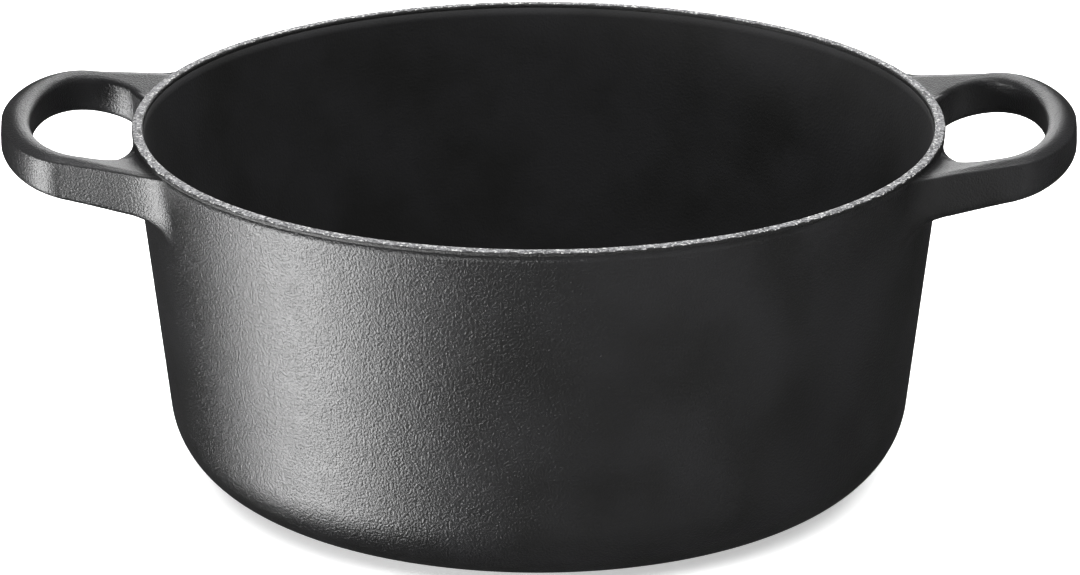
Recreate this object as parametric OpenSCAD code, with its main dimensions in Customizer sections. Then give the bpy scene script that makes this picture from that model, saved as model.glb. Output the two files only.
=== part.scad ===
// Round enamelled cast-iron casserole pot with two loop handles cast on at the rim.
// Millimetres, +Z up. The origin is the centre of the foot, on the surface that the pot stands on,
// and +X runs from the pot's axis through the right loop. Sizes are those over the enamel.

/* [Vessel] */
// Inside diameter at the rim
rim_inner_d = 240; // [180:1:300]
// Height from the foot to the top of the rim
vessel_h = 110; // [85:1:150]
// Wall thickness at the rim, measured level, enamel on both faces
wall_t = 3.5; // [3:0.1:6]
// Floor thickness above the foot, enamel on both faces
floor_t = 5; // [4:0.1:8]
// Lean of the wall away from upright, as draft for the mould
wall_taper = 6.4; // [2:0.1:9]
// Outer radius where the wall turns into the floor
corner_r = 24.5; // [15:0.5:35]
// Inner radius where the wall turns into the floor
cavity_corner_r = 22; // [12:0.5:30]
// Radius of the two edges of the rim
rim_edge_r = 0.9; // [0.6:0.05:1.3]

/* [Foot] */
// Width of the flat ring that the pot stands on
foot_ring_w = 9; // [5:0.5:20]
// Depth of the shallow recess inside the ring
foot_recess = 0.8; // [0.4:0.1:1.5]

/* [Enamel] */
// Thickness of the fired enamel on every face
enamel_t = 0.35; // [0.2:0.01:0.5]
// Height of the bare ground-coat band at the rim
ground_band_h = 1.3; // [1:0.1:3]

/* [Loop handles] */
// How far the outer edge of a loop stands out from the rim
loop_reach = 40; // [34:0.5:50]
// Width of the bar at the tip of a loop, seen from above
bar_w = 9.6; // [8:0.1:13]
// Height of the bar at the tip
bar_tip_h = 12.5; // [8:0.1:14]
// Height of the bar where it joins the wall
bar_root_h = 14.3; // [12:0.1:20]
// Width across a loop where its round end begins
loop_w = 92; // [80:0.5:110]
// Length of that round end, from where it begins to the tip
loop_end_l = 22; // [16:0.5:26]
// Extra width of each leg of the loop where it reaches the wall
leg_flare = 8.6; // [0:0.1:12]
// Width of each leg of the bar beside the widest part of the finger opening
leg_w = 7.9; // [6:0.1:14]
// How far the oval of the finger opening runs on inside the wall, which rounds the opening's corners
opening_sink = 6.5; // [6:0.1:14]
// Height of the top of the tip above the rim
tip_rise = 4.2; // [0:0.1:6]
// How far the top of the bar lies below the rim at the wall
root_drop = 0.6; // [0.6:0.1:3]
// Drop of the tip's top from its nominal height to its inner edge
crown_drop = 2.2; // [0:0.1:2.5]
// Extra drop of the tip's top over its outer shoulder
shoulder_drop = 2.6; // [0:0.1:3]

/* [Hidden] */

ROUND_FN = 160;      // segments of a full turn in a preview
EDGE_STEPS = 5;      // flats round each edge of the rim
CUT_MARGIN = 4;      // how far a cutting shape runs past what it cuts
LAP = 0.003;         // how far a straight run of the profile ends inside the arc that it meets
BAR_CORNER = 3.4;    // exponent of the bar's section: 2 is an ellipse, more is squarer
LOOP_END = 1.87;     // exponent of the loop's outer end
OPENING = 2.14;      // exponent of the finger opening
TOP_CURVE = 1.3;     // exponent of the bar's fall from the tip to the wall
END_RINGS = 10;      // rings along half of a loop's round end
LEG_RINGS = 6;       // rings along one leg
SECTION_SIDES = 16;  // points round the bar
LEG_CURVE = 1.02;    // exponent of the flare of a leg towards the wall
RIDGE = 0.2;         // where the ridge of the bar's top lies, from its middle (0) to its outer edge (1)
ROOT_CROWN = 1.8;    // the two drops of the bar's top where it meets the wall
ROOT_SHOULDER = 0.7;
LEG_SINK = 14;       // how far a leg's outer edge runs inside the wall before it is trimmed
ROOT_PAD = [12, 8];  // width and height of the iron that runs through the wall's enamel into each leg

lean = tan(wall_taper);
// Level distance that stands for a distance square to the leaning wall
function level(distance) = distance / cos(wall_taper);

rim_outer_r = rim_inner_d / 2 + wall_t;
// Outer and inner radius of the finished wall at a height, before its corner begins
function wall_outer_r(z) = rim_outer_r - (vessel_h - z) * lean;
function wall_inner_r(z) = rim_inner_d / 2 - (vessel_h - z) * lean;

corner_x = wall_outer_r(corner_r) - level(corner_r);
cavity_corner_x = wall_inner_r(floor_t + cavity_corner_r) - level(cavity_corner_r);
recess_r = corner_x - foot_ring_w;
band_z = vessel_h - ground_band_h;
edge_z = vessel_h - rim_edge_r;

// Where a loop's outline and its opening lie, from the pot's axis
tip_x = rim_outer_r + loop_reach;
end_x = tip_x - loop_end_l;
opening_tip_x = tip_x - bar_w;
opening_half_l = (opening_tip_x - rim_outer_r + opening_sink) / 2;
opening_half_w = loop_w / 2 - leg_w;
opening_x = opening_tip_x - opening_half_l;
leg_end_x = sqrt(pow(rim_outer_r, 2) - pow(loop_w / 2, 2)) - LEG_SINK;
OPENING_SWEEP = 148; // angle round the opening's oval, from its tip to a place inside the wall
ring_count = END_RINGS + LEG_RINGS;

// ---- Vessel profile, for a finished surface (inset 0) or for the iron (inset enamel_t) ----

// Points round an edge of the rim, from the angle where the wall meets it to its top
function edge_arc(x, radius, wall_angle) =
    [for (i = [0 : EDGE_STEPS])
        let (turn = wall_angle + (90 - wall_angle) * i / EDGE_STEPS)
        [x, edge_z] + radius * [cos(turn), sin(turn)]];

// Everything that the outside of the vessel encloses, from the axis outwards
module outer_profile(inset) {
    turn_r = corner_r - inset;
    difference() {
        union() {
            polygon(concat(
                [[0, inset], [corner_x, inset],
                 [corner_x, corner_r] + (turn_r - LAP) * [cos(wall_taper), -sin(wall_taper)]],
                edge_arc(wall_outer_r(edge_z) - level(rim_edge_r), rim_edge_r - inset, -wall_taper),
                [[0, vessel_h - inset]]));
            translate([corner_x, corner_r]) circle(r = turn_r, $fn = ROUND_FN);
        }
        translate([0, -CUT_MARGIN]) square([recess_r + inset, foot_recess + inset + CUT_MARGIN]);
        translate([-corner_r, -CUT_MARGIN]) square([corner_r, vessel_h + 2 * CUT_MARGIN]);
    }
}

// The hollow inside the vessel, open at the top
module cavity_profile(inset) {
    turn_r = cavity_corner_r + inset;
    turn_z = floor_t + cavity_corner_r;
    edge_x = wall_inner_r(edge_z) + level(rim_edge_r);
    union() {
        polygon(concat(
            [[0, floor_t - inset], [cavity_corner_x, floor_t - inset],
             [cavity_corner_x, turn_z] + (turn_r - LAP) * [cos(wall_taper), -sin(wall_taper)]],
            edge_arc(edge_x, rim_edge_r - inset, 180 - wall_taper),
            [[edge_x, vessel_h + CUT_MARGIN], [0, vessel_h + CUT_MARGIN]]));
        intersection() {
            translate([cavity_corner_x, turn_z]) circle(r = turn_r, $fn = ROUND_FN);
            square([rim_outer_r, turn_z]);
        }
    }
}

module vessel_profile(inset) {
    difference() {
        outer_profile(inset);
        cavity_profile(inset);
    }
}

// The fired enamel in section: what the finished outside and the finished cavity add to the iron
module outer_coat_profile() {
    difference() {
        outer_profile(0);
        outer_profile(enamel_t);
    }
}

module cavity_coat_profile() {
    difference() {
        cavity_profile(enamel_t);
        cavity_profile(0);
    }
}

// A band of the half plane between two radii and two heights
module window(from_r, to_r, from_z, to_z) {
    translate([from_r, from_z]) square([to_r - from_r, to_z - from_z]);
}

module turned() {
    rotate_extrude($fn = ROUND_FN) children();
}

// ---- Loop handle: a bar of rounded section carried round an oval opening ----

function power_curve(value, exponent) = sign(value) * pow(abs(value), 2 / exponent);

// Plan point on the loop's outer edge at a ring from 0 at the tip to ring_count inside the wall
function outer_edge(ring) =
    ring <= END_RINGS
    ? let (turn = 90 * ring / END_RINGS)
      [end_x + loop_end_l * power_curve(cos(turn), LOOP_END), loop_w / 2 * power_curve(sin(turn), LOOP_END)]
    : let (along = (ring - END_RINGS) / LEG_RINGS)
      [end_x + (leg_end_x - end_x) * along, loop_w / 2 + leg_flare * pow(along, LEG_CURVE)];

// Plan point on the opening's edge at the same ring
function opening_edge(ring) =
    let (turn = OPENING_SWEEP * ring / ring_count)
    [opening_x + opening_half_l * power_curve(cos(turn), OPENING),
     opening_half_w * power_curve(sin(turn), OPENING)];

// Heights of the bar's top and underside at a distance from the pot's axis
function root_share(x) = min(1.15, (tip_x - bar_w / 2 - x) / (tip_x - bar_w / 2 - rim_outer_r));
function bar_top(x) = vessel_h + tip_rise - (tip_rise + root_drop) * pow(max(0, root_share(x)), TOP_CURVE);
function bar_height(x) = bar_tip_h + (bar_root_h - bar_tip_h) * root_share(x);

// One ring of the bar: a rounded section stood up on the line between the two edges
function bar_ring(ring, inset) =
    let (reach = abs(ring), side = sign(ring), outer = outer_edge(reach), inner = opening_edge(reach),
         across = (outer - inner) / norm(outer - inner), middle = (outer + inner) / 2,
         half_w = norm(outer - inner) / 2 - inset, half_h = bar_height(middle.x) / 2 - inset,
         middle_z = bar_top(middle.x) - bar_height(middle.x) / 2, near = max(0, min(1, root_share(middle.x))),
         crown = crown_drop + (ROOT_CROWN - crown_drop) * near,
         shoulder = shoulder_drop + (ROOT_SHOULDER - shoulder_drop) * near)
    [for (i = [0 : SECTION_SIDES - 1])
        let (turn = 360 * (i + 0.5) / SECTION_SIDES, c = power_curve(cos(turn), BAR_CORNER),
             s = power_curve(sin(turn), BAR_CORNER), plan = middle + across * half_w * c,
             drop = s > 0 ? s * (crown * (1 - c) / 2 + shoulder * max(0, c - RIDGE) / (1 - RIDGE)) : 0)
        [plan.x, plan.y * (side < 0 ? -1 : 1), middle_z + half_h * s - drop]];

function bar_points(inset) = [for (ring = [-ring_count : ring_count]) each bar_ring(ring, inset)];

// Triangles between neighbouring rings, wound so that they face out, or in when turned round
function skin_faces(first, inward) = [
    for (ring = [0 : 2 * ring_count - 1], i = [0 : SECTION_SIDES - 1])
        let (j = (i + 1) % SECTION_SIDES, near = first + ring * SECTION_SIDES, far = near + SECTION_SIDES)
        each inward
            ? [[near + i, near + j, far + j], [near + i, far + j, far + i]]
            : [[near + i, far + j, near + j], [near + i, far + i, far + j]]];

// A solid bar, closed by a flat face at each end
module loop_bar(inset) {
    last = 2 * ring_count * SECTION_SIDES;
    polyhedron(bar_points(inset), concat(
        skin_faces(0, false),
        [[for (i = [0 : SECTION_SIDES - 1]) i]],
        [[for (i = [SECTION_SIDES - 1 : -1 : 0]) last + i]]), convexity = 6);
}

// The enamel round the bar, as a tube with open ends
module loop_skin() {
    shift = (2 * ring_count + 1) * SECTION_SIDES;
    last = 2 * ring_count * SECTION_SIDES;
    polyhedron(concat(bar_points(0), bar_points(enamel_t)), concat(
        skin_faces(0, false), skin_faces(shift, true),
        [for (i = [0 : SECTION_SIDES - 1]) let (j = (i + 1) % SECTION_SIDES)
            each [[i, j, shift + j], [i, shift + j, shift + i]]],
        [for (i = [0 : SECTION_SIDES - 1]) let (j = (i + 1) % SECTION_SIDES)
            each [[last + i, shift + last + j, last + j], [last + i, shift + last + i, shift + last + j]]]),
        convexity = 8);
}

// The iron of the right loop, trimmed to the finished wall
module handle_iron() {
    color("dimgray") difference() {
        loop_bar(enamel_t);
        turned() outer_profile(0);
    }
}

// The enamel of the right loop, trimmed to the finished wall
module handle_coat() {
    color("#262626") difference() {
        loop_skin();
        turned() outer_profile(0);
    }
}

// Blocks that mark where the iron of each leg runs on through the enamel into the wall
module root_blocks() {
    pad_z = vessel_h - root_drop - bar_root_h / 2;
    for (left = [0, 1], far = [0, 1])
        mirror([left, 0, 0]) mirror([0, far, 0])
            translate([rim_outer_r / 2, opening_half_w - ROOT_PAD.x / 2, pad_z - ROOT_PAD.y / 2])
                cube([rim_outer_r, ROOT_PAD.x, ROOT_PAD.y]);
}

// ---- Nodes ----

module pot_body() {
    color("dimgray") {
        turned() vessel_profile(enamel_t);
        intersection() {
            turned() outer_coat_profile();
            root_blocks();
        }
    }
}

module right_loop_handle() {
    handle_iron();
}

module left_loop_handle() {
    mirror([1, 0, 0]) handle_iron();
}

module right_handle_enamel() {
    handle_coat();
}

module left_handle_enamel() {
    mirror([1, 0, 0]) handle_coat();
}

// The bare ground coat over the top of the rim
module rim_ground_coat() {
    color("silver") turned() intersection() {
        difference() {
            vessel_profile(0);
            vessel_profile(enamel_t);
        }
        window(0, rim_outer_r + CUT_MARGIN, band_z, vessel_h + CUT_MARGIN);
    }
}

// The matt black coat of the cooking surface
module interior_enamel() {
    color("#181818") turned() intersection() {
        cavity_coat_profile();
        window(0, rim_outer_r, 0, band_z);
    }
}

// The satin black coat of the outer wall, open where the iron of each leg passes through
module exterior_enamel() {
    color("#262626") difference() {
        turned() intersection() {
            outer_coat_profile();
            window(corner_x, rim_outer_r + CUT_MARGIN, -CUT_MARGIN, band_z);
        }
        root_blocks();
    }
}

// The coat of the underside, with the ring that the pot stands on
module base_enamel() {
    color("#1f1f1f") turned() intersection() {
        outer_coat_profile();
        window(0, corner_x, -CUT_MARGIN, corner_r);
    }
}

pot_body();
left_loop_handle();
right_loop_handle();
rim_ground_coat();
interior_enamel();
exterior_enamel();
base_enamel();
left_handle_enamel();
right_handle_enamel();
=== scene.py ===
"""Looks of a round enamelled cast-iron casserole pot with two loop handles, dressed over its CAD frame.

Everything stands in the row frame: +Z up, the origin at the centre of the foot and +X through the right loop.
Shapes are worked out in millimetres and stored in metres.
"""

import logging
import math
from dataclasses import dataclass
from enum import Enum

import bpy
import numpy as np
from mathutils import Matrix, Vector


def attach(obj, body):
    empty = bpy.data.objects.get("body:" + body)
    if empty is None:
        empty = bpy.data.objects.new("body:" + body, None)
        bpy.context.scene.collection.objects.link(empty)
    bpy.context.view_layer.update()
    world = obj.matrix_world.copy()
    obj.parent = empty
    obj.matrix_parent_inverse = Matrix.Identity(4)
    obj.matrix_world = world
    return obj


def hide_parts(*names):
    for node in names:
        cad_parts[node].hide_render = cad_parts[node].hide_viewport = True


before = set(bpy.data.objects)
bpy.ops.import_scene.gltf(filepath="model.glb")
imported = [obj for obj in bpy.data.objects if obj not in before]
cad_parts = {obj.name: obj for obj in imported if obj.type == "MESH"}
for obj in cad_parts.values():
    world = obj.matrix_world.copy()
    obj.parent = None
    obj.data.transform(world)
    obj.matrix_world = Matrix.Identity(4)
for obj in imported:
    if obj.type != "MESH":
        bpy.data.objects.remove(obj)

Array = np.ndarray
Colour = tuple[float, float, float, float]
Value = bpy.types.NodeSocket | float | Colour
Mesh = tuple[Array, list[list[int]]]
MM = 0.001
BODY = "root"
FIT = 0.012  # how far (mm) the wall's outer face stays inside the CAD model's

logging.basicConfig(level=logging.INFO, format="%(message)s")
log = logging.getLogger("casserole")


class Side(Enum):
    """Which loop: the sign of its X."""

    LEFT = -1
    RIGHT = 1


# ---------------------------------------------------------------------------------------------
# Mesh helpers
# ---------------------------------------------------------------------------------------------


def grid_faces(rows: int, columns: int, wrap_rows: bool, wrap_columns: bool) -> Array:
    """Quads of a point grid whose point (i, j) has number i * columns + j.

    Args:
        rows: Points along the first direction.
        columns: Points along the second direction.
        wrap_rows: Whether the last row joins the first.
        wrap_columns: Whether the last column joins the first.

    Returns:
        (n, 4) point numbers.
    """
    i = np.arange(rows if wrap_rows else rows - 1)[:, None]
    j = np.arange(columns if wrap_columns else columns - 1)[None, :]
    i_next, j_next = (i + 1) % rows, (j + 1) % columns
    corners = (i * columns + j, i_next * columns + j, i_next * columns + j_next, i * columns + j_next)
    return np.stack(np.broadcast_arrays(*corners), -1).reshape(-1, 4)


def fan_faces(centre: int, ring: Array) -> Array:
    """Triangles from one point to a closed ring of points."""
    return np.stack([np.full(len(ring), centre), ring, np.roll(ring, -1)], -1)


def enclosed_volume(points: Array, faces: list[list[int]]) -> float:
    """Signed volume inside a closed mesh: the sum of the tetrahedra from the origin to each triangle.

    Args:
        points: (n, 3) points.
        faces: Triangles and quads.

    Returns:
        The volume, which is positive where the faces look outward.
    """
    total = 0.0
    for size in (3, 4):
        chosen = np.array([f for f in faces if len(f) == size], int).reshape(-1, size)
        for k in range(1, size - 1):
            a, b, c = points[chosen[:, 0]], points[chosen[:, k]], points[chosen[:, k + 1]]
            total += float(np.einsum("ij,ij->i", a, np.cross(b, c)).sum()) / 6
    return total


def revolve(profile: Array, segments: int, poles: bool) -> Mesh:
    """Turns a profile round Z: point (r, z) goes to (r cos a, r sin a, z) for every angle a.

    Args:
        profile: (n, 2) radii and heights in mm: a closed loop, or with poles a line from axis to axis.
        segments: Points in a full turn.
        poles: Whether the profile's two end points lie on the axis.

    Returns:
        The points and the faces of a closed mesh.
    """
    body = profile[1:-1] if poles else profile
    angle = 2 * np.pi * np.arange(segments)[:, None] / segments
    radius = body[None, :, 0]
    height = np.broadcast_to(body[None, :, 1], (segments, len(body)))
    points = np.stack([radius * np.cos(angle), radius * np.sin(angle), height], -1).reshape(-1, 3)
    faces = grid_faces(segments, len(body), True, not poles).tolist()
    if poles:
        ends = np.array([[0, 0, profile[0, 1]], [0, 0, profile[-1, 1]]])
        count = len(points)
        ring = np.arange(segments) * len(body)
        faces += fan_faces(count, ring[::-1]).tolist()
        faces += fan_faces(count + 1, ring + len(body) - 1).tolist()
        points = np.vstack([points, ends])
    return points, faces


def arc(centre: tuple[float, float], radius: float, start: float, end: float, count: int) -> Array:
    """Points of a circular arc between two angles in degrees."""
    angle = np.radians(np.linspace(start, end, count))
    return np.array(centre) + radius * np.stack([np.cos(angle), np.sin(angle)], -1)


def run(start: Array, end: Array, count: int) -> Array:
    """Points strictly between two points of a profile."""
    share = np.linspace(0, 1, count + 2)[1:-1, None]
    return np.asarray(start) * (1 - share) + np.asarray(end) * share


def make_piece(
    name: str, points: Array, faces: list[list[int]], material: bpy.types.Material, node: str, slot: str
) -> bpy.types.Object:
    """Makes a smooth closed mesh that stands for one CAD node.

    Args:
        name: Name of the new object.
        points: (n, 3) points in mm, in the row frame.
        faces: Triangles and quads; they are turned over if they look inward.
        material: Its finish.
        node: The CAD node that it replaces.
        slot: The record's material slot. It is not used.

    Returns:
        The object, riding on the pot's body.
    """
    if enclosed_volume(points, faces) < 0:
        faces = [face[::-1] for face in faces]
    mesh = bpy.data.meshes.new(name)
    mesh.from_pydata((points * MM).tolist(), [], faces)
    mesh.validate()
    mesh.polygons.foreach_set("use_smooth", np.ones(len(mesh.polygons), bool))
    mesh.materials.append(material)
    mesh.update()
    piece = bpy.data.objects.new(name, mesh)
    bpy.context.scene.collection.objects.link(piece)
    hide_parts(node)
    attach(piece, BODY)
    log.info("%s: %d points, %d faces, for %s", name, len(points), len(faces), node)
    return piece


# ---------------------------------------------------------------------------------------------
# Materials
# ---------------------------------------------------------------------------------------------


def srgb(code: str) -> Colour:
    """Linear colour of an sRGB hex code such as #1c1c1d."""
    parts = [int(code[i : i + 2], 16) / 255 for i in (1, 3, 5)]
    linear = [p / 12.92 if p <= 0.04045 else ((p + 0.055) / 1.055) ** 2.4 for p in parts]
    return (linear[0], linear[1], linear[2], 1.0)


class Graph:
    """A material's node tree with a few short ways to add to it."""

    def __init__(self, name: str) -> None:
        """Starts a material with a Principled shader and object coordinates."""
        self.material = bpy.data.materials.new(name)
        self.material.use_nodes = True
        self.tree = self.material.node_tree
        self.tree.nodes.clear()
        self.shader = self.add("ShaderNodeBsdfPrincipled", {})
        output = self.add("ShaderNodeOutputMaterial", {"Surface": self.shader.outputs["BSDF"]})
        output.is_active_output = True
        self.place = self.add("ShaderNodeTexCoord", {}).outputs["Object"]

    def add(self, kind: str, inputs: dict, **settings) -> bpy.types.Node:
        """Adds a node.

        Args:
            kind: Blender's name for the node type.
            inputs: Socket name or number to a value or to another node's output.
            **settings: Node properties.

        Returns:
            The node.
        """
        node = self.tree.nodes.new(kind)
        for key, value in settings.items():
            setattr(node, key, value)
        for key, value in inputs.items():
            if isinstance(value, bpy.types.NodeSocket):
                self.tree.links.new(value, node.inputs[key])
            else:
                node.inputs[key].default_value = value
        return node

    def noise(
        self, size_mm: float, detail: float = 3.0, roughness: float = 0.5
    ) -> bpy.types.NodeSocket:
        """Noise from 0 to 1 whose features are about size_mm across."""
        inputs = {"Vector": self.place, "Scale": 1 / (size_mm * MM), "Detail": detail, "Roughness": roughness}
        return self.add("ShaderNodeTexNoise", inputs).outputs[0]

    def cells(self, size_mm: float) -> bpy.types.NodeSocket:
        """Distance to the nearest of scattered points about size_mm apart, in shares of that size."""
        inputs = {"Vector": self.place, "Scale": 1 / (size_mm * MM)}
        return self.add("ShaderNodeTexVoronoi", inputs).outputs["Distance"]

    def ramp(
        self, value: bpy.types.NodeSocket, low: float, high: float, to_low: float = 0.0, to_high: float = 1.0
    ) -> bpy.types.NodeSocket:
        """Maps value from [low, high] to [to_low, to_high] and clamps it."""
        inputs = {"Value": value, "From Min": low, "From Max": high, "To Min": to_low, "To Max": to_high}
        return self.add("ShaderNodeMapRange", inputs).outputs["Result"]

    def mix(self, share: bpy.types.NodeSocket, first: Value, second: Value) -> bpy.types.NodeSocket:
        """Mixes two colours.

        Args:
            share: 0 for the first colour and 1 for the second.
            first: A colour, or a node's output.
            second: A colour, or a node's output.

        Returns:
            The mixed colour.
        """
        node = self.add("ShaderNodeMix", {}, data_type="RGBA")
        for key, value in ((0, share), (6, first), (7, second)):  # a Mix node's sockets for colours
            if isinstance(value, bpy.types.NodeSocket):
                self.tree.links.new(value, node.inputs[key])
            else:
                node.inputs[key].default_value = value
        return node.outputs[2]

    def maths(self, operation: str, first: Value, second: Value = 0.0) -> bpy.types.NodeSocket:
        """Result of a maths node."""
        return self.add("ShaderNodeMath", {0: first, 1: second}, operation=operation).outputs[0]

    def bump(
        self, height: bpy.types.NodeSocket, depth_mm: float, below: bpy.types.NodeSocket | None = None
    ) -> bpy.types.NodeSocket:
        """Bends the normal.

        Args:
            height: Relief from 0 to 1.
            depth_mm: What a relief of 1 stands for.
            below: The normal of a bump that this one lies on.

        Returns:
            The bent normal.
        """
        inputs = {"Height": height, "Distance": depth_mm * MM, "Strength": 1.0}
        if below is not None:
            inputs["Normal"] = below
        return self.add("ShaderNodeBump", inputs).outputs["Normal"]

    def surface(self, **inputs: Value) -> None:
        """Sets the shader's sockets.

        Args:
            **inputs: Socket names, with underscores for spaces, to values or to nodes' outputs.
        """
        for key, value in inputs.items():
            socket = self.shader.inputs[key.replace("_", " ")]
            if isinstance(value, bpy.types.NodeSocket):
                self.tree.links.new(value, socket)
            else:
                socket.default_value = value


@dataclass(frozen=True)
class BlackEnamel:
    """Fired black enamel: glassy, softened by an orange peel and a sand grain that spread its highlights.

    The grain is drawn a little coarser than on a real pot, so that a small render still shows it.
    """

    name: str
    dark: str
    light: str
    roughness: float
    roughness_swing: float
    peel_mm: float
    peel_depth_mm: float
    grain_mm: float
    grain_depth_mm: float
    cloud_mm: float = 26.0
    patch_mm: float = 9.0
    pit_gap_mm: float = 5.5
    pit_depth_mm: float = 0.006

    def build(self) -> bpy.types.Material:
        """Makes the material: cloudy black, patches of duller gloss, and pits on grain on orange peel."""
        g = Graph(self.name)
        cloud = g.noise(self.cloud_mm, 3.0)
        grain = g.noise(self.grain_mm, 2.0, 0.5)
        pit = g.ramp(g.cells(self.pit_gap_mm), 0.05, 0.10)
        glossy = self.roughness - self.roughness_swing
        dull = self.roughness + self.roughness_swing
        peel_normal = g.bump(g.noise(self.peel_mm, 1.0), self.peel_depth_mm)
        grain_normal = g.bump(grain, self.grain_depth_mm, peel_normal)
        g.surface(
            Base_Color=g.mix(g.ramp(cloud, 0.35, 0.65), srgb(self.dark), srgb(self.light)),
            Roughness=g.ramp(g.noise(self.patch_mm, 4.0), 0.3, 0.7, glossy, dull),
            IOR=1.5,
            Normal=g.bump(pit, self.pit_depth_mm, grain_normal),
        )
        return g.material


@dataclass(frozen=True)
class GroundCoat:
    """Bare grey ground coat: a dry speckled band with ragged edges, where the black enamel was wiped back.

    The edges are heights, and wander is how far they stray to either side. Chips lie within chip_reach of
    the edges.
    """

    name: str
    dark: str
    light: str
    chip: str
    enamel: str
    outer_edge_mm: float
    inner_edge_mm: float
    middle_radius_mm: float
    wander_mm: float = 0.28
    wander_size_mm: float = 3.2
    edge_blur_mm: float = 0.03
    speck_mm: float = 0.8
    speck_depth_mm: float = 0.10
    chip_mm: float = 0.9
    chip_reach_mm: float = 0.45
    step_depth_mm: float = 0.05

    def build(self) -> bpy.types.Material:
        """Makes the material: enamel below the edges' heights and the bare, speckled coat above them."""
        g = Graph(self.name)
        axes = g.add("ShaderNodeSeparateXYZ", {"Vector": g.place})
        x, y, z = axes.outputs[0], axes.outputs[1], axes.outputs[2]
        radius = g.maths("SQRT", g.maths("ADD", g.maths("MULTIPLY", x, x), g.maths("MULTIPLY", y, y)))
        outside = g.maths("GREATER_THAN", radius, self.middle_radius_mm * MM)
        edge = g.ramp(outside, 0, 1, self.inner_edge_mm * MM, self.outer_edge_mm * MM)
        stray = self.wander_mm * MM
        wander = g.ramp(g.noise(self.wander_size_mm, 4.0, 0.65), 0.3, 0.7, -stray, stray)
        above = g.maths("SUBTRACT", z, g.maths("ADD", edge, wander))
        bare = g.ramp(above, -self.edge_blur_mm * MM, self.edge_blur_mm * MM)
        speck = g.ramp(g.noise(self.speck_mm, 3.0, 0.7), 0.40, 0.60)
        tone = g.mix(speck, srgb(self.dark), srgb(self.light))
        near_edge = g.ramp(above, self.chip_reach_mm * MM, 0.0)
        chips = g.maths("MULTIPLY", near_edge, g.ramp(g.noise(self.chip_mm, 2.0), 0.55, 0.6))
        tone = g.mix(chips, tone, srgb(self.chip))
        g.surface(
            Base_Color=g.mix(bare, srgb(self.enamel), tone),
            Roughness=g.ramp(bare, 0, 1, 0.4, 0.6),
            IOR=1.5,
            Normal=g.bump(speck, self.speck_depth_mm, g.bump(bare, self.step_depth_mm)),
        )
        return g.material


@dataclass(frozen=True)
class CastIron:
    """Sand-cast iron under the enamel: dark grey metal with the grain of the sand."""

    name: str
    dark: str
    light: str
    cloud_mm: float = 6.0
    patch_mm: float = 2.0
    sand_mm: float = 0.8
    sand_depth_mm: float = 0.08

    def build(self) -> bpy.types.Material:
        """Makes the material."""
        g = Graph(self.name)
        cloud = g.ramp(g.noise(self.cloud_mm, 5.0), 0.35, 0.65)
        g.surface(
            Base_Color=g.mix(cloud, srgb(self.dark), srgb(self.light)),
            Metallic=1.0,
            Roughness=g.ramp(g.noise(self.patch_mm, 3.0), 0.3, 0.7, 0.55, 0.72),
            Normal=g.bump(g.noise(self.sand_mm, 4.0, 0.6), self.sand_depth_mm),
        )
        return g.material


@dataclass(frozen=True)
class PaleFloor:
    """Matt white studio floor with a faint tooth. It glows a little, which lifts the shadow under the pot."""

    name: str
    dark: str
    light: str
    glow: float = 0.5
    cloud_mm: float = 40.0
    tooth_mm: float = 1.5
    tooth_depth_mm: float = 0.02

    def build(self) -> bpy.types.Material:
        """Makes the material."""
        g = Graph(self.name)
        cloud = g.ramp(g.noise(self.cloud_mm, 4.0), 0.3, 0.7)
        g.surface(
            Base_Color=g.mix(cloud, srgb(self.dark), srgb(self.light)),
            Roughness=0.9,
            Specular_IOR_Level=0.1,
            Emission_Color=srgb(self.light),
            Emission_Strength=self.glow,
            Normal=g.bump(g.noise(self.tooth_mm, 2.0), self.tooth_depth_mm),
        )
        return g.material


# ---------------------------------------------------------------------------------------------
# The vessel
# ---------------------------------------------------------------------------------------------


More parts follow.
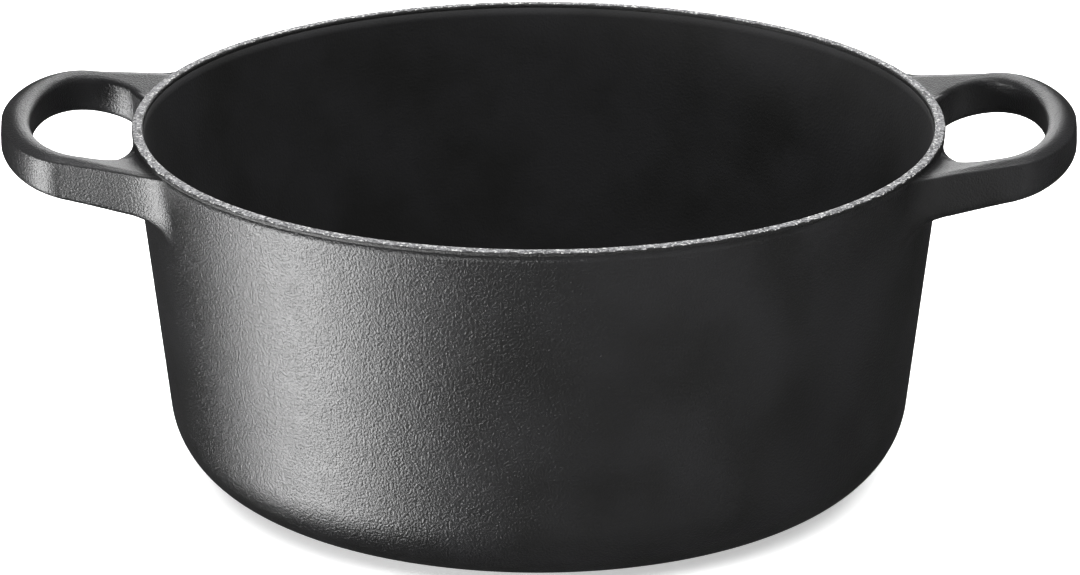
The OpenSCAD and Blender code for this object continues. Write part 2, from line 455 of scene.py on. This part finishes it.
@dataclass(frozen=True)
class Vessel:
    """The pot without its loops, in mm over the enamel, and the four coats that show on it."""

    rim_inner_r: float = 120.0
    height: float = 110.0
    wall_t: float = 3.5
    floor_t: float = 5.0
    wall_taper: float = 6.4
    corner_r: float = 24.5
    cavity_corner_r: float = 22.0
    rim_edge_r: float = 0.9
    foot_ring_w: float = 9.0
    foot_recess: float = 0.8
    foot_edge_r: float = 0.3
    enamel_t: float = 0.35
    ground_band_h: float = 1.3
    segments: int = 384
    turn_points: int = 30
    wall_points: int = 40
    cavity_points: int = 30
    recess_points: int = 24
    edge_points: int = 10
    foot_edge_points: int = 5

    @property
    def lean(self) -> float:
        """Outward run of the wall for each mm of height."""
        return math.tan(math.radians(self.wall_taper))

    @property
    def rim_outer_r(self) -> float:
        """Outer radius at the rim."""
        return self.rim_inner_r + self.wall_t - FIT

    @property
    def band_z(self) -> float:
        """Height of the lower edges of the ground-coat band."""
        return self.height - self.ground_band_h

    def level(self, distance: float) -> float:
        """Level distance that stands for a distance square to the leaning wall."""
        return distance / math.cos(math.radians(self.wall_taper))

    def outer_r(self, z: Array | float) -> Array | float:
        """Radius of the wall's outer face at a height."""
        return self.rim_outer_r - (self.height - z) * self.lean

    def inner_r(self, z: Array | float) -> Array | float:
        """Radius of the wall's inner face at a height."""
        return self.rim_inner_r - (self.height - z) * self.lean

    @property
    def corner_x(self) -> float:
        """Radius where the foot turns into the outer corner."""
        return self.outer_r(self.corner_r) - self.level(self.corner_r)

    def outer_face(self, inset: float) -> Array:
        """Profile from the foot's outer edge up to the band: an arc, then a straight leaning line.

        Args:
            inset: Depth below the finished face in mm.

        Returns:
            (n, 2) radii and heights in mm.
        """
        centre = (self.corner_x, self.corner_r)
        turn = arc(centre, self.corner_r - inset, -90, -self.wall_taper, self.turn_points)
        end = np.array([self.outer_r(self.band_z) - self.level(inset), self.band_z])
        return np.vstack([turn, run(turn[-1], end, self.wall_points), end])

    def cavity_face(self, inset: float) -> Array:
        """Profile from the axis over the floor and up to the band: a level line, an arc and a leaning line.

        Args:
            inset: Depth below the finished face in mm.

        Returns:
            (n, 2) radii and heights in mm.
        """
        centre_z = self.floor_t + self.cavity_corner_r
        centre_x = self.inner_r(centre_z) - self.level(self.cavity_corner_r)
        turn_r = self.cavity_corner_r + inset
        turn = arc((centre_x, centre_z), turn_r, -90, -self.wall_taper, self.turn_points)
        start = np.array([0.0, self.floor_t - inset])
        end = np.array([self.inner_r(self.band_z) + self.level(inset), self.band_z])
        floor = run(start, turn[0], self.cavity_points)
        return np.vstack([start, floor, turn, run(turn[-1], end, self.cavity_points), end])

    def rim_face(self, inset: float) -> Array:
        """Profile over the rim, from the band's outer edge to its inner edge: a flat between two arcs.

        Args:
            inset: Depth below the finished face in mm.

        Returns:
            (n, 2) radii and heights in mm.
        """
        edge_z = self.height - self.rim_edge_r
        outer_x = self.outer_r(edge_z) - self.level(self.rim_edge_r)
        inner_x = self.inner_r(edge_z) + self.level(self.rim_edge_r)
        radius = self.rim_edge_r - inset
        start = np.array([self.outer_r(self.band_z) - self.level(inset), self.band_z])
        outer = arc((outer_x, edge_z), radius, -self.wall_taper, 90, self.edge_points)
        inner = arc((inner_x, edge_z), radius, 90, 180 - self.wall_taper, self.edge_points)
        end = np.array([self.inner_r(self.band_z) + self.level(inset), self.band_z])
        up, over, down = run(start, outer[0], 2), run(outer[-1], inner[0], 6), run(inner[-1], end, 2)
        return np.vstack([start, up, outer, over, inner, down, end])

    def foot_face(self, inset: float) -> Array:
        """Profile of the underside from the axis to the foot's outer edge: the recess, its step and the ring.

        Args:
            inset: Depth below the finished face in mm.

        Returns:
            (n, 2) radii and heights in mm.
        """
        recess_x = self.corner_x - self.foot_ring_w + inset
        recess_z = self.foot_recess + inset
        soft = self.foot_edge_r
        step = np.array([[recess_x, recess_z - soft], [recess_x, inset + soft]])
        upper = arc((recess_x - soft, recess_z - soft), soft, 90, 0, self.foot_edge_points)
        lower = arc((recess_x + soft, inset + soft), soft, 180, 270, self.foot_edge_points)
        start, end = np.array([0.0, recess_z]), np.array([self.corner_x, inset])
        recess, ring = run(start, upper[0], self.recess_points), run(lower[-1], end, 4)
        return np.vstack([start, recess, upper, run(step[0], step[1], 1), lower, ring, end])

    def build(self, finishes: "Finishes") -> list[bpy.types.Object]:
        """Makes the coats, each the profile of its face and the same profile below it, turned round Z.

        Args:
            finishes: The built materials.

        Returns:
            The coats of the wall, the cavity, the rim and the underside.
        """
        t = self.enamel_t
        wall = np.vstack([self.outer_face(0), self.outer_face(t)[::-1]])
        cavity = np.vstack([self.cavity_face(0), self.cavity_face(t)[::-1]])
        rim = np.vstack([self.rim_face(0), self.rim_face(t)[::-1]])
        foot = np.vstack([self.foot_face(0), self.foot_face(t)[::-1]])
        return [
            make_piece("wall_coat", *revolve(wall, self.segments, False), finishes.satin,
                       "exterior_enamel", "exterior_enamel"),
            make_piece("cavity_coat", *revolve(cavity, self.segments, True), finishes.matt,
                       "interior_enamel", "interior_enamel"),
            make_piece("rim_band", *revolve(rim, self.segments * 2, False), finishes.ground,
                       "rim_ground_coat", "rim_ground_coat"),
            make_piece("foot_coat", *revolve(foot, self.segments, True), finishes.base,
                       "base_enamel", "base_enamel"),
        ]


# ---------------------------------------------------------------------------------------------
# The loops
# ---------------------------------------------------------------------------------------------


def power_curve(value: Array, exponent: float) -> Array:
    """Coordinate of a superellipse: sign(v) |v| ** (2 / n)."""
    return np.sign(value) * np.abs(value) ** (2 / exponent)


@dataclass(frozen=True)
class Section:
    """The bar's section, as a rounded five-sided outline, in mm.

    Its corners are the outer foot, the shoulder, the ridge, the inner top and the inner foot. The radii and
    the bulges follow that order. Pairs hold the size at the tip and the size at the wall.
    """

    ridge_in: tuple[float, float] = (4.0, 4.0)
    ridge_drop: tuple[float, float] = (1.0, 0.75)
    shoulder_drop: tuple[float, float] = (2.7, 1.05)
    inner_drop: tuple[float, float] = (2.2, 1.85)
    outer_draft: float = 0.45
    inner_draft: float = 0.3
    tip_radii: tuple[float, ...] = (2.4, 1.0, 7.0, 2.8, 2.2)
    wall_radii: tuple[float, ...] = (2.4, 0.7, 7.0, 2.0, 2.2)
    bulges: tuple[float, ...] = (0.10, 0.0, 0.0, 0.08, 0.12)
    corner_points: int = 9
    flat_points: int = 3

    def outline(self, width: Array, top: Array, height: Array, share: Array) -> tuple[Array, Array]:
        """Outlines for all rings at once.

        Each corner is an arc of its radius that touches both neighbouring sides; between two arcs the side is
        straight, lifted by bulge * 4 s (1 - s) at the share s of its length.

        Args:
            width: Width of the bar at each ring.
            top: Height of its nominal top.
            height: Height of the bar.
            share: How near each ring is to the wall, from 0 at the tip to 1.

        Returns:
            (rings, points, 2) distance from the inner edge and height, and the outward normals there.
        """
        foot = top - height
        zero = np.zeros_like(width)
        near = np.clip(share, 0, 1)
        ridge_in, ridge_drop, shoulder_drop, inner_drop = (
            pair[0] + (pair[1] - pair[0]) * near
            for pair in (self.ridge_in, self.ridge_drop, self.shoulder_drop, self.inner_drop)
        )
        corners = np.stack([
            np.stack([width, foot], -1),
            np.stack([width - self.outer_draft, top - shoulder_drop], -1),
            np.stack([width - ridge_in, top - ridge_drop], -1),
            np.stack([zero, top - inner_drop], -1),
            np.stack([zero + self.inner_draft, foot], -1),
        ], 1)
        arcs, arc_normals = [], []
        radii = np.outer(1 - near, self.tip_radii) + np.outer(near, self.wall_radii)
        for k, radius in enumerate(radii.T):
            here = corners[:, k]
            back = corners[:, k - 1] - here
            ahead = corners[:, (k + 1) % len(radii.T)] - here
            back /= np.linalg.norm(back, axis=-1, keepdims=True)
            ahead /= np.linalg.norm(ahead, axis=-1, keepdims=True)
            half = np.arccos(np.clip((back * ahead).sum(-1), -1, 1)) / 2
            bisector = back + ahead
            bisector /= np.linalg.norm(bisector, axis=-1, keepdims=True)
            centre = here + bisector * (radius / np.sin(half))[:, None]
            turn = np.linspace(-1, 1, self.corner_points)[None, :]
            middle = np.arctan2(-bisector[:, 1], -bisector[:, 0])
            facing = middle[:, None] + turn * (np.pi / 2 - half)[:, None]
            normal = np.stack([np.cos(facing), np.sin(facing)], -1)
            arcs.append(centre[:, None] + radius[:, None, None] * normal)
            arc_normals.append(normal)
        points, normals = [], []
        for k, bulge in enumerate(self.bulges):
            points.append(arcs[k])
            normals.append(arc_normals[k])
            start, end = arcs[k][:, -1:], arcs[(k + 1) % len(arcs)][:, :1]
            s = np.linspace(0, 1, self.flat_points + 2)[None, 1:-1, None]
            square = arc_normals[k][:, -1:]
            points.append(start * (1 - s) + end * s + square * bulge * 4 * s * (1 - s))
            normals.append(np.broadcast_to(square, points[-1].shape))
        return np.concatenate(points, 1), np.concatenate(normals, 1)


@dataclass(frozen=True)
class Fillet:
    """How far a root fillet reaches (mm) along the bar and over the wall, above, beside and below the bar.

    The last ring lies sink below the wall's face. The cap behind it is cap_scale as wide and lies cap_sink
    below, so that the joint is closed. The fillet stays band_gap below the rim's band.
    """

    bar: tuple[float, float, float] = (3.2, 13.0, 10.0)
    wall: tuple[float, float, float] = (0.8, 10.0, 9.0)
    rings: int = 18
    sink: float = 0.012
    cap_sink: float = 0.2
    cap_scale: float = 0.8
    band_gap: float = 0.12

    def reach(self, sizes: tuple[float, float, float], normal: Array) -> Array:
        """Blends the three reaches by the squares of the normal's rise and the size of its level part.

        Args:
            sizes: The reach above, beside and below the bar.
            normal: Outward normals of the section, level part first.

        Returns:
            The reach for each normal.
        """
        above, beside, below = sizes
        up = np.clip(normal[..., 1], 0, None) ** 2
        down = np.clip(normal[..., 1], None, 0) ** 2
        return above * up + below * down + beside * np.abs(normal[..., 0])


@dataclass(frozen=True)
class LoopHandle:
    """One loop: a bar carried from the tip along both legs to the wall, where a fillet spreads it out.

    Sizes are in mm, over the enamel. The bar's top falls and its height grows from the tip until share_limit
    of the way to the wall's face.
    """

    side: Side
    vessel: Vessel
    section: Section = Section()
    fillet: Fillet = Fillet()
    reach: float = 40.0
    bar_w: float = 9.6
    bar_tip_h: float = 12.5
    bar_root_h: float = 14.3
    loop_w: float = 92.0
    loop_end_l: float = 22.0
    leg_flare: float = 8.6
    leg_w: float = 7.9
    opening_sink: float = 6.5
    tip_rise: float = 4.2
    root_drop: float = 0.6
    outer_exponent: float = 1.87
    opening_exponent: float = 2.14
    top_exponent: float = 1.3
    leg_exponent: float = 1.02
    end_share: float = 0.625
    opening_sweep: float = 148.0
    leg_sink: float = 14.0
    tip_inset: float = 0.075
    share_limit: float = 1.15
    dense: int = 900
    rings: int = 90

    @property
    def tip_x(self) -> float:
        """Distance of the tip from the pot's axis."""
        return self.vessel.rim_outer_r + FIT + self.reach

    def edges(self, along: Array) -> tuple[Array, Array]:
        """Edges of the bar seen from above.

        The outer edge is a quarter superellipse and then a leg whose flare grows as a power of its length.
        The opening's edge is part of a whole superellipse.

        Args:
            along: Places from 0 at the tip to 1 in the wall.

        Returns:
            (n, 2) points of the outer edge and of the opening's edge.
        """
        end_x = self.tip_x - self.loop_end_l
        half_w = self.loop_w / 2
        leg_end_x = math.sqrt((self.vessel.rim_outer_r + FIT) ** 2 - half_w**2) - self.leg_sink
        turn = np.radians(90) * np.clip(along / self.end_share, 0, 1)
        leg = np.clip((along - self.end_share) / (1 - self.end_share), 0, 1)
        outer_x = end_x + self.loop_end_l * power_curve(np.cos(turn), self.outer_exponent)
        outer_y = half_w * power_curve(np.sin(turn), self.outer_exponent)
        outer_x = np.where(leg > 0, end_x + (leg_end_x - end_x) * leg, outer_x)
        outer_y = outer_y + self.leg_flare * leg**self.leg_exponent
        opening_tip_x = self.tip_x - self.bar_w
        half_l = (opening_tip_x - self.vessel.rim_outer_r - FIT + self.opening_sink) / 2
        sweep = np.radians(self.opening_sweep) * along
        inner_x = opening_tip_x - half_l + half_l * power_curve(np.cos(sweep), self.opening_exponent)
        inner_y = (half_w - self.leg_w) * power_curve(np.sin(sweep), self.opening_exponent)
        return np.stack([outer_x, outer_y], -1), np.stack([inner_x, inner_y], -1)

    def lines(self) -> tuple[Array, Array]:
        """Carries the section along one half of the bar, square to the lines between its two edges.

        Returns:
            (samples, points, 3) places, and (samples, points, 5) outward normals: three parts in space and
            then the level part and the rise in the section's own plane.
        """
        along = np.linspace(0, 1, self.dense)
        outer, inner = self.edges(along)
        width = np.linalg.norm(outer - inner, axis=-1)
        across = (outer - inner) / width[:, None]
        middle_x = (outer[:, 0] + inner[:, 0]) / 2
        root_x = self.tip_x - self.bar_w / 2
        share = np.clip((root_x - middle_x) / (root_x - self.vessel.rim_outer_r), 0, self.share_limit)
        fall = (self.tip_rise + self.root_drop) * share**self.top_exponent
        top = self.vessel.height + self.tip_rise - fall
        height = self.bar_tip_h + (self.bar_root_h - self.bar_tip_h) * share
        points, normals = self.section.outline(width - self.tip_inset, top, height, share)
        plan = inner[:, None] + across[:, None] * points[..., :1]
        place = np.concatenate([plan, points[..., 1:]], -1)
        facing = np.concatenate([across[:, None] * normals[..., :1], normals[..., 1:]], -1)
        return place, np.concatenate([facing, normals], -1)

    def wall_gap(self, place: Array) -> Array:
        """Distance outside the wall's finished face."""
        radius = np.hypot(place[..., 0], place[..., 1])
        return (radius - self.vessel.outer_r(place[..., 2])) * math.cos(math.radians(self.vessel.wall_taper))

    def half(self) -> Array:
        """Rings of one half of the loop, from the tip to the cap inside the wall.

        Every line of the bar stops short of the wall and runs into it on a cubic Bezier curve. Its second
        point is where the line would have met the wall. Its third is on the wall too, so it lies down gently.

        Returns:
            (rings, points, 3) places.
        """
        place, facing = self.lines()
        columns = []
        for j in range(place.shape[1]):
            line, normal = place[:, j], facing[:, j]
            gap = self.wall_gap(line)
            hit = int(np.argmax(gap < 0))
            part = gap[hit - 1] / (gap[hit - 1] - gap[hit])
            length = np.concatenate([[0], np.cumsum(np.linalg.norm(np.diff(line, axis=0), axis=-1))])
            meet = line[hit - 1] * (1 - part) + line[hit] * part
            meet_at = length[hit - 1] * (1 - part) + length[hit] * part
            out = normal[hit]
            start_at = meet_at - float(self.fillet.reach(self.fillet.bar, out[3:]))
            stops = np.linspace(0, start_at, self.rings)
            along = np.stack([np.interp(stops, length, line[:, k]) for k in range(3)], -1)
            spread = float(self.fillet.reach(self.fillet.wall, out[3:]))
            third, end = (self.on_wall(meet, out[:3], spread * way) for way in (0.5, 1.0))
            s = np.linspace(0, 1, self.fillet.rings + 1)[1:, None]
            curve = (along[-1] * (1 - s) ** 3 + meet * 3 * s * (1 - s) ** 2 + third * 3 * s**2 * (1 - s)
                     + end * s**3)
            columns.append(np.vstack([along, curve]))
        rings = np.stack(columns, 1)
        rings[-1] = self.sunk(rings[-1], self.fillet.sink)
        middle = rings[-1].mean(0)
        narrowed = middle + (rings[-1] - middle) * self.fillet.cap_scale
        cap = self.sunk(narrowed, self.fillet.cap_sink, onto=True)
        return np.concatenate([rings, cap[None]], 0)

    def on_wall(self, start: Array, direction: Array, distance: float) -> Array:
        """Goes over the wall's face: round the axis and up it, by the shares that the direction has of each.

        Args:
            start: A point on the wall.
            direction: Where to go; its part square to the wall is left out.
            distance: How far to go in mm.

        Returns:
            The point on the wall that is reached.
        """
        turn = math.atan2(start[1], start[0])
        radius = math.hypot(start[0], start[1])
        sideways = -direction[0] * math.sin(turn) + direction[1] * math.cos(turn)
        size = math.hypot(sideways, direction[2]) or 1.0
        rise = min(distance * direction[2] / size, self.vessel.band_z - self.fillet.band_gap - start[2])
        z = start[2] + rise
        turn += distance * sideways / size / radius
        new_radius = self.vessel.outer_r(z)
        return np.array([new_radius * math.cos(turn), new_radius * math.sin(turn), z])

    def sunk(self, ring: Array, depth: float, onto: bool = False) -> Array:
        """Moves a ring towards the axis.

        Args:
            ring: (n, 3) points.
            depth: How far in mm.
            onto: Whether the depth is measured from the wall's face instead of from the points.

        Returns:
            The moved points.
        """
        radius = np.hypot(ring[:, 0], ring[:, 1])
        target = self.vessel.outer_r(ring[:, 2]) - depth if onto else radius - depth
        return np.concatenate([ring[:, :2] * (target / radius)[:, None], ring[:, 2:]], -1)

    def build(self, finish: bpy.types.Material) -> bpy.types.Object:
        """Makes the loop as one closed mesh that ends inside the wall.

        Args:
            finish: Its enamel.

        Returns:
            The loop's coat.
        """
        half = self.half()
        mirrored = half[:0:-1] * np.array([1, -1, 1])
        rings = np.concatenate([mirrored, half], 0)
        count, points_round = rings.shape[:2]
        points = rings.reshape(-1, 3)
        faces = grid_faces(count, points_round, False, True).tolist()
        first = np.arange(points_round)
        last = first + (count - 1) * points_round
        ends = np.stack([rings[0].mean(0), rings[-1].mean(0)])
        caps = self.sunk(ends, self.fillet.cap_sink, onto=True)
        faces += fan_faces(len(points), first[::-1]).tolist()
        faces += fan_faces(len(points) + 1, last).tolist()
        points = np.vstack([points, caps]) * np.array([self.side.value, 1, 1])
        word = self.side.name.lower()
        node = f"{word}_handle_enamel"
        return make_piece(f"{word}_loop_coat", points, faces, finish, node, "handle_enamel")


# ---------------------------------------------------------------------------------------------
# The studio
# ---------------------------------------------------------------------------------------------


@dataclass(frozen=True)
class SoftBox:
    """A rectangular soft light: where it stands (m), what it faces, and whether the enamel mirrors it.

    Its power grows with its area, so that radiance sets its brightness whatever its size.
    """

    name: str
    place: tuple[float, float, float]
    aim: tuple[float, float, float]
    width: float
    height: float
    radiance: float
    mirrored: bool = True

    def build(self) -> None:
        """Adds the light."""
        data = bpy.data.lights.new(self.name, "AREA")
        data.shape = "RECTANGLE"
        data.size, data.size_y = self.width, self.height
        data.energy = self.radiance * math.pi * self.width * self.height
        light = bpy.data.objects.new(self.name, data)
        bpy.context.scene.collection.objects.link(light)
        light.location = self.place
        light.rotation_euler = (Vector(self.aim) - Vector(self.place)).to_track_quat("-Z", "Y").to_euler()
        light.visible_glossy = self.mirrored
        light.visible_camera = False


@dataclass(frozen=True)
class Studio:
    """A white floor under soft boxes, and the camera. Lengths are in metres, and the lens in mm."""

    target: tuple[float, float, float] = (0.0, 0.0, 0.04927)
    distance: float = 1.5301
    azimuth: float = 0.7
    elevation: float = 20.12
    roll: float = -0.0011
    lens: float = 165.6
    sensor: float = 36.0
    view_depth: float = 50.0
    shift: tuple[float, float] = (0.0011, 0.016)
    floor_half: float = 4.0
    floor_gap: float = 0.0001
    surround: float = 0.05
    boxes: tuple[SoftBox, ...] = (
        SoftBox("left_box", (-1.25, -0.42, -0.33), (0.0, 0.0, 0.05), 0.9, 1.36, 18.0),
        SoftBox("front_left_box", (-0.95, -2.0, 0.02), (0.0, 0.0, 0.05), 0.9, 0.2, 52.0),
        SoftBox("back_panel", (0.0, 0.8, 0.30), (0.0, 0.0, 0.1), 0.42, 0.4, 3.2),
        SoftBox("overhead_box", (0.0, 0.1, 0.95), (0.0, 0.0, 0.1), 0.5, 0.4, 5.0),
        SoftBox("right_box", (1.3, -1.3, 0.0), (0.0, 0.0, 0.05), 0.8, 1.0, 0.8),
        SoftBox("top_box", (0.0, 0.0, 1.7), (0.0, 0.0, 0.0), 3.6, 3.6, 4.6, False),
    )

    def build(self, finish: bpy.types.Material) -> None:
        """Sets up the floor, the lights, the world and the camera.

        Args:
            finish: The floor's material.
        """
        self.floor(finish)
        for box in self.boxes:
            box.build()
        self.world()
        self.camera()
        bpy.context.scene.view_settings.view_transform = "Standard"

    def floor(self, finish: bpy.types.Material) -> None:
        """Lays the floor just under the foot. The enamel doesn't mirror it, so the pot's front stays dark.

        Args:
            finish: Its material.
        """
        half, z = self.floor_half, -self.floor_gap
        mesh = bpy.data.meshes.new("floor")
        corners = [(-half, -half, z), (half, -half, z), (half, half, z), (-half, half, z)]
        mesh.from_pydata(corners, [], [(0, 1, 2, 3)])
        mesh.materials.append(finish)
        floor = bpy.data.objects.new("floor", mesh)
        bpy.context.scene.collection.objects.link(floor)
        floor.visible_glossy = False

    def world(self) -> None:
        """Sets a dim, even surround."""
        world = bpy.data.worlds.new("surround")
        world.use_nodes = True
        background = world.node_tree.nodes["Background"]
        background.inputs["Color"].default_value = (1, 1, 1, 1)
        background.inputs["Strength"].default_value = self.surround
        bpy.context.scene.world = world

    def camera(self) -> None:
        """Places the camera: back from its target, up by the elevation and round by the azimuth."""
        data = bpy.data.cameras.new("camera")
        data.lens = self.lens
        data.sensor_width = self.sensor
        data.shift_x, data.shift_y = self.shift
        data.dof.use_dof = False
        data.clip_end = self.view_depth
        camera = bpy.data.objects.new("camera", data)
        bpy.context.scene.collection.objects.link(camera)
        a, e = math.radians(self.azimuth), math.radians(self.elevation)
        back = Vector((math.sin(a) * math.cos(e), -math.cos(a) * math.cos(e), math.sin(e)))
        turn = (-back).to_track_quat("-Z", "Y").to_matrix().to_4x4() @ Matrix.Rotation(self.roll, 4, "Z")
        camera.matrix_world = Matrix.Translation(Vector(self.target) + back * self.distance) @ turn
        bpy.context.scene.camera = camera


# ---------------------------------------------------------------------------------------------
# Assembly
# ---------------------------------------------------------------------------------------------


@dataclass(frozen=True)
class Finishes:
    """The built materials."""

    satin: bpy.types.Material
    handle: bpy.types.Material
    base: bpy.types.Material
    matt: bpy.types.Material
    ground: bpy.types.Material
    iron: bpy.types.Material
    floor: bpy.types.Material

    @staticmethod
    def build(vessel: Vessel) -> "Finishes":
        """Makes every finish.

        Args:
            vessel: The pot, which gives the ground coat's edges their places.

        Returns:
            The materials.
        """
        return Finishes(
            satin=BlackEnamel(
                "satin_black_enamel", "#141414", "#1a1a1b", roughness=0.34, roughness_swing=0.02,
                peel_mm=3.5, peel_depth_mm=0.03, grain_mm=0.66, grain_depth_mm=0.27,
            ).build(),
            handle=BlackEnamel(
                "handle_black_enamel", "#141414", "#1a1a1b", roughness=0.34, roughness_swing=0.02,
                peel_mm=3.0, peel_depth_mm=0.03, grain_mm=0.6, grain_depth_mm=0.23,
            ).build(),
            base=BlackEnamel(
                "base_black_enamel", "#141414", "#1a1a1b", roughness=0.5, roughness_swing=0.03,
                peel_mm=3.0, peel_depth_mm=0.03, grain_mm=0.9, grain_depth_mm=0.08,
            ).build(),
            matt=BlackEnamel(
                "matt_black_enamel", "#151515", "#1b1b1c", roughness=0.82, roughness_swing=0.03,
                peel_mm=2.0, peel_depth_mm=0.02, grain_mm=0.8, grain_depth_mm=0.10,
            ).build(),
            ground=GroundCoat(
                "grey_ground_coat", "#1c1c1e", "#6e6e70", chip="#b4b4b2", enamel="#161616",
                outer_edge_mm=vessel.height - 0.3, inner_edge_mm=vessel.height - 0.12,
                middle_radius_mm=vessel.rim_inner_r + vessel.wall_t / 2,
            ).build(),
            iron=CastIron("cast_iron", "#3a3a3c", "#56565a").build(),
            floor=PaleFloor("pale_floor", "#f4f4f4", "#f8f8f8").build(),
        )


def dress_iron(iron: bpy.types.Material) -> None:
    """Gives the CAD nodes that stay their finish.

    Args:
        iron: Their material.
    """
    for name in ("pot_body", "left_loop_handle", "right_loop_handle"):
        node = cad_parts[name]
        node.data.materials.clear()
        node.data.materials.append(iron)
        log.info("%s: CAD node kept, cast iron", name)


def main() -> None:
    """Builds the looks: the vessel's coats, both loops, the iron's finish and the studio."""
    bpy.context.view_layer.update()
    vessel = Vessel()
    finishes = Finishes.build(vessel)
    vessel.build(finishes)
    for side in Side:
        LoopHandle(side, vessel).build(finishes.handle)
    dress_iron(finishes.iron)
    Studio().build(finishes.floor)


if __name__ == "__main__":
    main()
